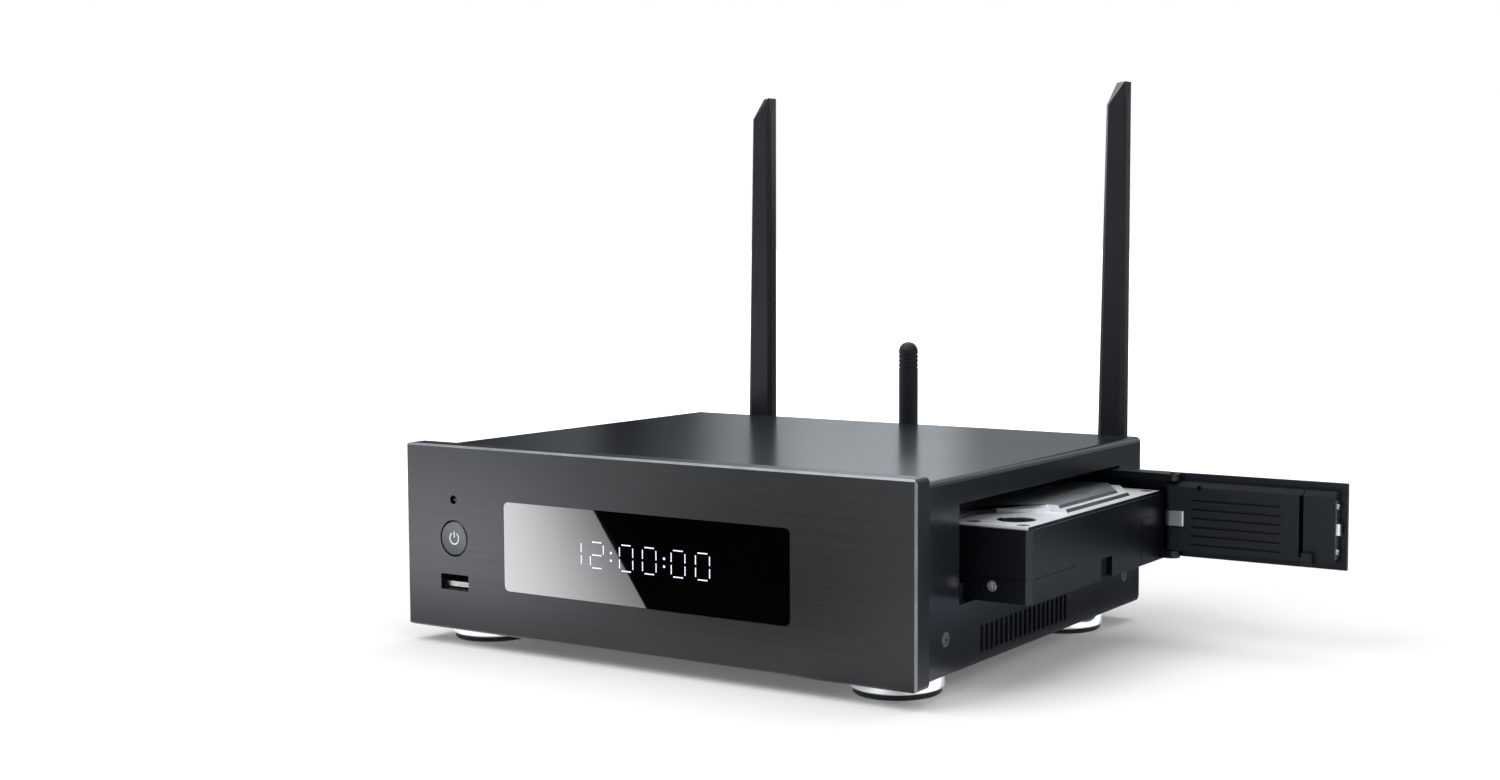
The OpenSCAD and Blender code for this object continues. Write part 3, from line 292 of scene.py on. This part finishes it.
# ---------------------------------------------------------------- studio

def make_world():
    """White for the camera and through glass, a studio with a darker side for gloss, plain light else."""
    world = bpy.data.worlds.new("studio")
    scene.world = world
    n = Nodes(world, "OutputWorld")
    path = n.add("LightPath").outputs
    light = n.add("Background", Color=(0.95, 0.97, 1.0, 1), Strength=0.45)
    white = n.add("Background", Color=WHITE, Strength=1.0)
    # gloss sees a pale room on the left, behind the object and above it, and a dark one on the right
    way = n.add("TexCoord").outputs["Generated"]
    side = n.fall(way, (-0.80, 0.55, 0.10), -0.25, 0.45, 0.08, 0.85)
    above = n.fall(way, (0, 0, 1), 0.2, 0.6, 0.0, 0.55)
    gloss = n.add("Background", Color=(0.94, 0.97, 1.0, 1), Strength=n.maths("ADD", side, above))
    seen = n.maths("MAXIMUM", path["Is Camera Ray"], path["Is Transmission Ray"])
    inner = n.add("MixShader", path["Is Glossy Ray"], light.outputs[0], gloss.outputs[0])
    outer = n.add("MixShader", seen, inner.outputs[0], white.outputs[0])
    n.finish(outer.outputs[0])


def make_floor():
    """A wide pale floor. The camera sees it as white, apart from the object's shadow."""
    bm = bmesh.new()
    bmesh.ops.create_circle(bm, cap_ends=True, segments=64, radius=FLOOR_RADIUS)
    mesh = bpy.data.meshes.new("floor")
    bm.to_mesh(mesh)
    bm.free()
    floor = bpy.data.objects.new("floor", mesh)
    scene.collection.objects.link(floor)
    n = material_nodes("floor_white")
    path = n.add("LightPath").outputs
    away = n.away(n.add("TexCoord").outputs["Object"], (1, 1, 0))
    wide = n.ramp(away, FLOOR_LIFT, 1.0, FLOOR_NEAR, FLOOR_FAR, "SMOOTHSTEP")
    seen = n.maths("MULTIPLY", path["Is Camera Ray"], wide)
    lift = n.add("Emission", Color=WHITE,
                 Strength=n.maths("MULTIPLY_ADD", path["Is Glossy Ray"], GLOSS_LIFT, seen))
    diffuse = n.add("BsdfDiffuse", Color=(0.92, 0.92, 0.92, 1))
    n.finish(n.add("AddShader", diffuse.outputs[0], lift.outputs[0]).outputs[0])
    mesh.materials.append(n.owner)


def make_lights():
    for name, place, aim, side, power in LAMPS:
        data = bpy.data.lights.new(name, "AREA")
        data.shape = "RECTANGLE"
        data.size = data.size_y = side
        data.energy = power
        obj = bpy.data.objects.new(name, data)
        obj.location = place
        obj.rotation_euler = (Vector(aim) - Vector(place)).to_track_quat("-Z", "Y").to_euler()
        scene.collection.objects.link(obj)


def gloss_card(name, corners, shade, colour=(0.97, 0.99, 1.0)):
    """A flat card that only gloss sees. shade(nodes, position) gives its brightness."""
    mesh = bpy.data.meshes.new(name)
    mesh.from_pydata([Vector(c) * MM for c in corners], [], [range(len(corners))])
    obj = bpy.data.objects.new(name, mesh)
    scene.collection.objects.link(obj)
    n = material_nodes(name)
    n.finish(n.add("Emission", Color=(*colour, 1), Strength=shade(n, n.coords())).outputs[0])
    mesh.materials.append(n.owner)
    for ray in ("camera", "diffuse", "shadow", "transmission", "volume_scatter"):
        setattr(obj, "visible_" + ray, False)


def on_floor(*corners):
    """Corners (x, y) of a card that lies on the floor."""
    return [(x, y, CARD_LEVEL) for x, y in corners]


def make_window_cards():
    """The floor in front, as the window shows it: the line between the two cards is the slanted edge there."""
    near_y, far_y = -150, -385
    near, far = (-48.0, near_y), (-274.0, far_y)
    gloss_card("window_dark_card", on_floor(near, far, (-90, far_y), (40, near_y)),
               lambda n, at: n.fall(at, (0, 1, 0), far_y, near_y, 0.004, 0.006))
    across = Vector((far[1] - near[1], near[0] - far[0], 0)).normalized()
    start = across.dot(Vector((*near, 0)))
    gloss_card("window_bright_card", on_floor(near, (-330, near_y), (-620, far_y), far),
               lambda n, at: n.fall(at, across, start - 12, start + 60, 1.2, 5.4))


def make_foot_card():
    """A bright strip on the floor along the front and the right side, seen in the feet."""
    left, right, front, back = -112, 111, -104, 90
    inner_x, inner_y = 97, -76
    bands = [(left, 1.2), (50, 1.2), (66, 0.5), (80, 0.9), (96, 0.45), (104, 1.4), (right, 1.4)]
    gloss_card("foot_card", on_floor((left, front), (right, front), (right, back), (inner_x, back),
                                     (inner_x, inner_y), (left, inner_y)),
               lambda n, at: n.curve(at, (1, 0, 0), left, right, bands))


def make_side_card():
    """The floor on the right, seen in the side of the case: dark next to it, paler further off, dark behind."""
    def shade(n, at):
        return n.maths("MULTIPLY", n.fall(at, (1, 0, 0), 115, 280, 0.03, 1.15),
                       n.fall(at, (0, 1, 0), 260, 520, 1.0, 0.10))

    gloss_card("side_dark_card", on_floor((112, -30), (900, -30), (900, 1200), (112, 1200)), shade,
               (0.76, 0.88, 1.0))


def make_top_card():
    """A tall card behind the case, seen in its top: a dark band on the left, pale parts, a grey right end."""
    left, right, back, height = -520, 105, 200, 420
    bands = [(left, 0.04), (-340, 0.05), (-265, 0.14), (-235, 0.02), (-200, 0.08), (-160, 0.44), (-110, 0.68),
             (-55, 0.76), (-25, 0.32), (right, 0.33)]
    reach = [(left, 0), (-240, 0.1), (-190, 1), (30, 1), (90, 0)]

    def shade(n, at):
        level = n.curve(at, (1, 0, 0), left, right, bands)
        upper = n.fall(at, (0, 0, 1), 135, 210, 0, 4)
        bright = n.maths("MULTIPLY_ADD", upper, n.curve(at, (1, 0, 0), left, right, reach), 1.0)
        return n.maths("MULTIPLY", level, bright)

    gloss_card("top_card", [(left, back, 0), (right, back, 0), (right, back, height), (left, back, height)],
               shade, (0.90, 0.96, 1.0))


# ---------------------------------------------------------------- lit pieces

def new_piece(name, bm, mat, body):
    mesh = bpy.data.meshes.new(name)
    bm.to_mesh(mesh)
    bm.free()
    mesh.materials.append(mat)
    obj = bpy.data.objects.new(name, mesh)
    scene.collection.objects.link(obj)
    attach(obj, body)


def plate(bm, front, back):
    """A closed plate between two outlines of (x, y, z) in mm."""
    near = [bm.verts.new([c * MM for c in point]) for point in front]
    far = [bm.verts.new([c * MM for c in point]) for point in back]
    bm.faces.new(near)
    bm.faces.new(far[::-1])
    for i in range(len(near)):
        j = (i + 1) % len(near)
        bm.faces.new((near[j], near[i], far[i], far[j]))


def rounded(x0, z0, x1, z1, r, steps):
    """The outline (x, z) of a rectangle with round corners."""
    points = []
    corners = (x1 - r, z0 + r, -90), (x1 - r, z1 - r, 0), (x0 + r, z1 - r, 90), (x0 + r, z0 + r, 180)
    for cx, cz, turn in corners:
        for i in range(steps + 1):
            a = math.radians(turn + 90 * i / steps)
            points.append((cx + r * math.cos(a), cz + r * math.sin(a)))
    return points


def make_digits():
    """Clock digits 12:00:00, each bar a row of short lit strokes."""
    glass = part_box("display_window")
    y = glass[0][1] / MM
    middle = (DIGIT_LOW + DIGIT_HIGH) / 2
    bm = bmesh.new()

    def lit(x0, z0, x1, z1, r):
        outline = rounded(x0, z0, x1, z1, r, 2)
        plate(bm, [(x, y - LIT_FRONT, z) for x, z in outline], [(x, y - LIT_BACK, z) for x, z in outline])

    def bar(xa, za, xb, zb):
        """A bar made of short strokes with hairline gaps."""
        wide, tall = (STROKE / 2, 0) if xa == xb else (0, STROKE / 2)
        for i in range(STROKES):
            t0, t1 = ((i + end) / STROKES for end in STROKE_ENDS)
            lit(xa + (xb - xa) * t0 - wide, za + (zb - za) * t0 - tall,
                xa + (xb - xa) * t1 + wide, za + (zb - za) * t1 + tall, STROKE_ROUND)

    def digit(x0, x1, on):
        inner = (x0 + DIGIT_CORNER, x1 - DIGIT_CORNER)
        upper = (middle + DIGIT_CORNER * DIGIT_WAIST, DIGIT_HIGH - DIGIT_CORNER)
        lower = (DIGIT_LOW + DIGIT_CORNER, middle - DIGIT_CORNER * DIGIT_WAIST)
        bars = {
            "a": (inner[0], DIGIT_HIGH, inner[1], DIGIT_HIGH),
            "b": (x1, upper[0], x1, upper[1]),
            "c": (x1, lower[0], x1, lower[1]),
            "d": (inner[0], DIGIT_LOW, inner[1], DIGIT_LOW),
            "e": (x0, lower[0], x0, lower[1]),
            "f": (x0, upper[0], x0, upper[1]),
            "g": (inner[0], middle, inner[1], middle),
        }
        for key in on:
            bar(*bars[key])

    def colon(x):
        for z in (middle - COLON_RISE, middle + COLON_RISE):
            lit(x - COLON_HALF, z - COLON_HALF, x + COLON_HALF, z + COLON_HALF, COLON_ROUND)

    digit(-29.5, -24.1, "bc")
    digit(-20.3, -14.9, "abged")
    colon(-11.8)
    digit(-8.3, -2.9, "abcdef")
    digit(1.0, 6.4, "abcdef")
    colon(9.6)
    digit(12.4, 17.8, "abcdef")
    digit(21.9, 27.3, "abcdef")
    new_piece("clock_digits", bm, glow("digit_glow", (0.82, 0.77, 1.0), 0.9), "case")


def make_power_mark():
    """The generic power symbol on the button's dished face."""
    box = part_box("power_button")
    cx = (box[0][0] + box[1][0]) / 2 / MM
    cz = (box[0][2] + box[1][2]) / 2 / MM
    bm = bmesh.new()

    def patch(points):
        """A thin plate on the dish."""
        dish = [PANEL_FACE - DISH_CENTRE + math.sqrt(DISH_RADIUS ** 2 - math.hypot(x - cx, z - cz) ** 2)
                for x, z in points]
        plate(bm, *([(x, y + lift, z) for (x, z), y in zip(points, dish)] for lift in (MARK_FRONT, MARK_BACK)))

    for i in range(MARK_STEPS):
        start, end = (math.radians(MARK_START + MARK_SWEEP * k / MARK_STEPS) for k in (i, i + 1))
        corners = (MARK_INNER, end), (MARK_OUTER, end), (MARK_OUTER, start), (MARK_INNER, start)
        patch([(cx + r * math.cos(a), cz + r * math.sin(a)) for r, a in corners])
    half, low, high, r = MARK_BAR
    patch(rounded(cx - half, cz + low, cx + half, cz + high, r, 3))
    bmesh.ops.recalc_face_normals(bm, faces=bm.faces)
    new_piece("power_mark", bm, glow("mark_white", (0.75, 0.75, 0.74), 0.12), "button")


# ---------------------------------------------------------------- the CAD nodes

def dress(name, *mats):
    """Gives a node its materials. The first one covers it."""
    obj = NODES[name]
    obj.data.materials.clear()
    for mat in mats:
        obj.data.materials.append(mat)
    return obj


def dress_all(names, mat):
    for name in names:
        dress(name, mat)


def pick_faces(obj, mat, test):
    """Gives the faces that pass test(normal, centre in mm) one of the node's own materials."""
    index = obj.data.materials.find(mat.name)
    for poly in obj.data.polygons:
        if test(poly.normal, poly.center / MM):
            poly.material_index = index


def dress_front():
    panel = brushed("panel_brushed", (0.0392, 0.0407, 0.0428), (0.0513, 0.0528, 0.0552), 0.35)
    # bright bare cut metal for the chamfer, used as a painted highlight where the edge catches the light
    edge = plain_metal("panel_cut_edge_painted_highlight", (0.16, 0.17, 0.18), (0.21, 0.22, 0.23), 0.32)
    ends = brushed("panel_ends", (0.030, 0.034, 0.040), (0.042, 0.047, 0.054), 0.42, along="y", pitch=0.14)
    front = dress("front_panel", panel, edge, ends)
    # the faces round the plate's thickness
    pick_faces(front, ends, lambda n, c: abs(n.y) < 0.5)
    # partly the edge's own bare cut metal, partly painted highlight: it is given only along the top and the
    # right end, where the edge catches the light
    pick_faces(front, edge, lambda n, c: -0.95 < n.y < -0.35 and c.y < -81 and (c.x > 98 or c.z > 65))
    dress("display_window", window_black())
    dress("led_lens", lens_red())
    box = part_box("power_button")
    centre = [(box[0][i] + box[1][i]) / 2 for i in range(3)]
    dress("power_button", turned("button_turned", (0.050, 0.053, 0.056), (0.070, 0.073, 0.077), 0.36, centre))
    dress("front_usb_port", plain_metal("usb_plated", (0.20, 0.20, 0.20), (0.27, 0.27, 0.275), 0.35))


def dress_shell():
    dress("top_cover", grained("sheet_satin", (0.016, 0.020, 0.027), (0.019, 0.023, 0.030), 0.21, grain=0.12,
                               depth=0.002, metallic=0.3, spread=0.012))
    dress_all(("base_pan", "drive_bay", "bay_stands"),
              grained("sheet_inner", (0.03, 0.032, 0.034), (0.045, 0.047, 0.05), 0.5, grain=0.2))
    dress("rear_panel", grained("rear_satin", (0.032, 0.034, 0.037), (0.045, 0.048, 0.052), 0.42, grain=0.12))
    dress_all(("hdmi_port", "network_port", "rear_usb_ports"),
              plain_metal("socket_plated", (0.45, 0.45, 0.45), (0.60, 0.60, 0.61), 0.30))
    dress_all(("audio_jacks", "optical_port", "power_socket", "drive_connector", "bay_runners"),
              grained("plastic_black", (0.012, 0.013, 0.015), (0.018, 0.019, 0.021), 0.45, grain=0.3))


def dress_inside():
    dress_all(("display_module", "control_board", "mainboard", "backplane"),
              grained("board_green", (0.012, 0.06, 0.03), (0.02, 0.09, 0.045), 0.35, coat=0.3))
    dress("heatsink", grained("heatsink_black", (0.02, 0.02, 0.02), (0.03, 0.03, 0.03), 0.4))
    dress_all(("panel_screws", "foot_screws", "tray_screws", "drive_cover_screws", "pin_left", "pin_short",
               "pin_right"), plain_metal("screw_steel", (0.42, 0.42, 0.42), (0.62, 0.62, 0.63), 0.28))
    dress("hinge_pin", plain_metal("pin_black", (0.02, 0.022, 0.025), (0.035, 0.037, 0.04), 0.4))
    dress("cover_screws", plain_metal("screw_dark", (0.20, 0.205, 0.21), (0.34, 0.345, 0.35), 0.3))
    dress_all(("board_standoffs", "jack_left", "jack_short", "jack_right"),
              plain_metal("brass_turned", (0.55, 0.42, 0.18), (0.75, 0.60, 0.30), 0.25))


def dress_feet():
    chrome = plain_metal("foot_chrome", (0.86, 0.88, 0.91), (0.92, 0.94, 0.96), 0.09, depth=0.0004)
    rubber = grained("foot_rubber", (0.008, 0.008, 0.008), (0.014, 0.014, 0.014), 0.6, grain=0.2, specular=0.35)
    for corner in ("front_left", "front_right", "rear_left", "rear_right"):
        dress("foot_" + corner, chrome)
        dress("pad_" + corner, rubber)


def dress_tray():
    paint = {"grain": 0.35, "depth": 0.006, "spread": 0.02}
    black = grained("tray_black", (0.0035, 0.005, 0.0075), (0.005, 0.007, 0.010), 0.36, specular=0.30, **paint)
    # a darker copy of the paint as painted shade, and a lighter one as painted highlight
    end = grained("tray_end", (0.002, 0.003, 0.0045), (0.003, 0.0042, 0.006), 0.40, specular=0.13, **paint)
    corner = grained("tray_corner_painted_highlight", (0.009, 0.012, 0.016), (0.012, 0.015, 0.020), 0.34, specular=0.38, **paint)
    # painted shade on the faces towards the front, painted highlight on those turning from there to the right
    for name in ("tray_frame", "tray_arm"):
        piece = dress(name, black, end, corner)
        pick_faces(piece, end, lambda n, c: n.y < -0.95)
        pick_faces(piece, corner, lambda n, c: n.y < -0.3 and n.x > 0.3)
    dress("hinge_ear", plain_metal("ear_steel", (0.62, 0.65, 0.70), (0.66, 0.69, 0.74), 0.34, depth=0.0001,
                                   scale=0.2))


def dress_drive():
    # the drive's black casting, made darker still as painted shade inside the tray's notch
    dress("drive_body", grained("drive_casting", (0.003, 0.003, 0.0035), (0.006, 0.006, 0.007), 0.5, grain=0.5,
                                specular=0.15))
    smooth = 0.0008         # mm, depth of the unevenness
    # painted highlight: a pale, partly diffuse copy of the cover's steel for the rim, so that the lamps light
    # it white
    rim = grained("drive_steel_rim_painted_highlight", (0.84, 0.87, 0.90), (0.88, 0.91, 0.94), 0.36, depth=smooth, metallic=0.35,
                  spread=0.03)
    # painted shade: a darker copy of the steel for the plateau, for the dark it reflects
    plateau = plain_metal("drive_steel", (0.34, 0.36, 0.38), (0.40, 0.42, 0.44), 0.38, depth=smooth, scale=0.5)
    # painted highlight: a bright copy for the steps that face the front
    step = grained("drive_steel_step_painted_highlight", (0.86, 0.89, 0.93), (0.90, 0.93, 0.97), 0.3, depth=smooth, metallic=0.1,
                   spread=0.03)
    # painted shade: a dark copy for the slopes that face right
    slope_shade = plain_metal("drive_steel_slope_painted_shade", (0.08, 0.085, 0.09), (0.12, 0.125, 0.13), 0.42, depth=smooth)
    cover = dress("drive_cover", rim, plateau, step, slope_shade)
    top = max(v.co.z for v in cover.data.vertices) / MM
    pick_faces(cover, plateau, lambda n, c: n.z > 0.9 and c.z > top - 0.05)
    # painted shade on the sloped faces towards the right, and then painted highlight on those towards the front
    pick_faces(cover, slope_shade, lambda n, c: n.z < 0.9 and n.x > 0.25)
    pick_faces(cover, step, lambda n, c: n.z < 0.9 and n.y < -0.25)
    # painted shade: the spindle's cap is near black with almost no gloss, for the shade down its hole
    dress("spindle_cap", grained("spindle_painted_shade", (0.004, 0.004, 0.005), (0.008, 0.008, 0.009), 0.6,
                                 specular=0.05))


def dress_door():
    black = grained("door_black", (0.004, 0.008, 0.012), (0.007, 0.011, 0.016), 0.44, grain=0.3, depth=0.006,
                    specular=0.3, spread=0.02)
    # a duller copy of the black, as painted shade on the faces that look up
    top_shade = grained("door_top_painted_shade", (0.005, 0.007, 0.009), (0.007, 0.009, 0.012), 0.55, grain=0.3, specular=0.12)
    # a near-black copy, as painted shade down the latch's slot
    slot_shade = grained("slot_painted_shade", (0.0006, 0.0007, 0.0009), (0.001, 0.0011, 0.0013), 0.7, grain=0.3,
                   specular=0.02)
    # painted shade: the faces that look up get a duller, less glossy copy of the black
    for name in ("door_panel", "door_liner", "latch_slider"):
        pick_faces(dress(name, black, top_shade, slot_shade), top_shade, lambda n, c: n.z > 0.5)
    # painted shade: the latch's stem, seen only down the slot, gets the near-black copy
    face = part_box("door_liner")[0][1] / MM
    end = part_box("latch_slider")[1][0] / MM
    pick_faces(NODES["latch_slider"], slot_shade, lambda n, c: n.y < -0.5 and c.y > face + 0.5 and c.x < end - 9)
    dress("latch_plate", plain_metal("latch_steel", (0.55, 0.56, 0.58), (0.75, 0.76, 0.78), 0.2))


def full_blade(name, body, mat, left, right):
    """The blade's moulding, fuller than its solid: wider on each side, and thicker above the hinge.

    left and right are each side's factors at the tip and at the foot.
    """
    mesh = NODES[name].data.copy()
    low = min(v.co.z for v in mesh.vertices)
    high = max(v.co.z for v in mesh.vertices)
    hinge = [v.co for v in mesh.vertices if v.co.z < low + HINGE_ZONE * MM]
    cx = (min(c.x for c in hinge) + max(c.x for c in hinge)) / 2
    cy = (min(c.y for c in hinge) + max(c.y for c in hinge)) / 2
    for v in mesh.vertices:
        up = (v.co.z - low) / (high - low)
        if abs(v.co.x - cx) > SLOT_HALF * MM:
            tip, foot = left if v.co.x < cx else right
            v.co.x = cx + (v.co.x - cx) * (tip + (foot - tip) * max(0, 1 - up / FOOT_SHARE))
        above = min(1, max(0, (v.co.z - low - THICKER_FROM * MM) / (THICKER_OVER * MM)))
        v.co.y = cy + (v.co.y - cy) * (1 + THICKER * above)
    mesh.materials.clear()
    mesh.materials.append(mat)
    skin = bpy.data.objects.new(name + "_skin", mesh)
    scene.collection.objects.link(skin)
    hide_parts(name)
    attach(skin, body)


def dress_aerials():
    black = grained("aerial_black", (0.008, 0.010, 0.013), (0.011, 0.013, 0.017), 0.42, grain=0.3, depth=0.006,
                    specular=0.25, spread=0.02)
    dress_all(("base_left", "base_short", "base_right", "short_aerial"), black)
    for side, left, right in (("left", (1.19, 1.42), (1.01, 1.22)), ("right", (1.05, 1.28), (0.93, 1.20))):
        dress("blade_" + side, black)
        full_blade("blade_" + side, side + "_aerial", black, left, right)


make_camera()
make_world()
make_floor()
make_lights()
make_window_cards()
make_foot_card()
make_side_card()
make_top_card()
dress_front()
dress_shell()
dress_inside()
dress_feet()
dress_tray()
dress_drive()
dress_door()
dress_aerials()
make_digits()
make_power_mark()
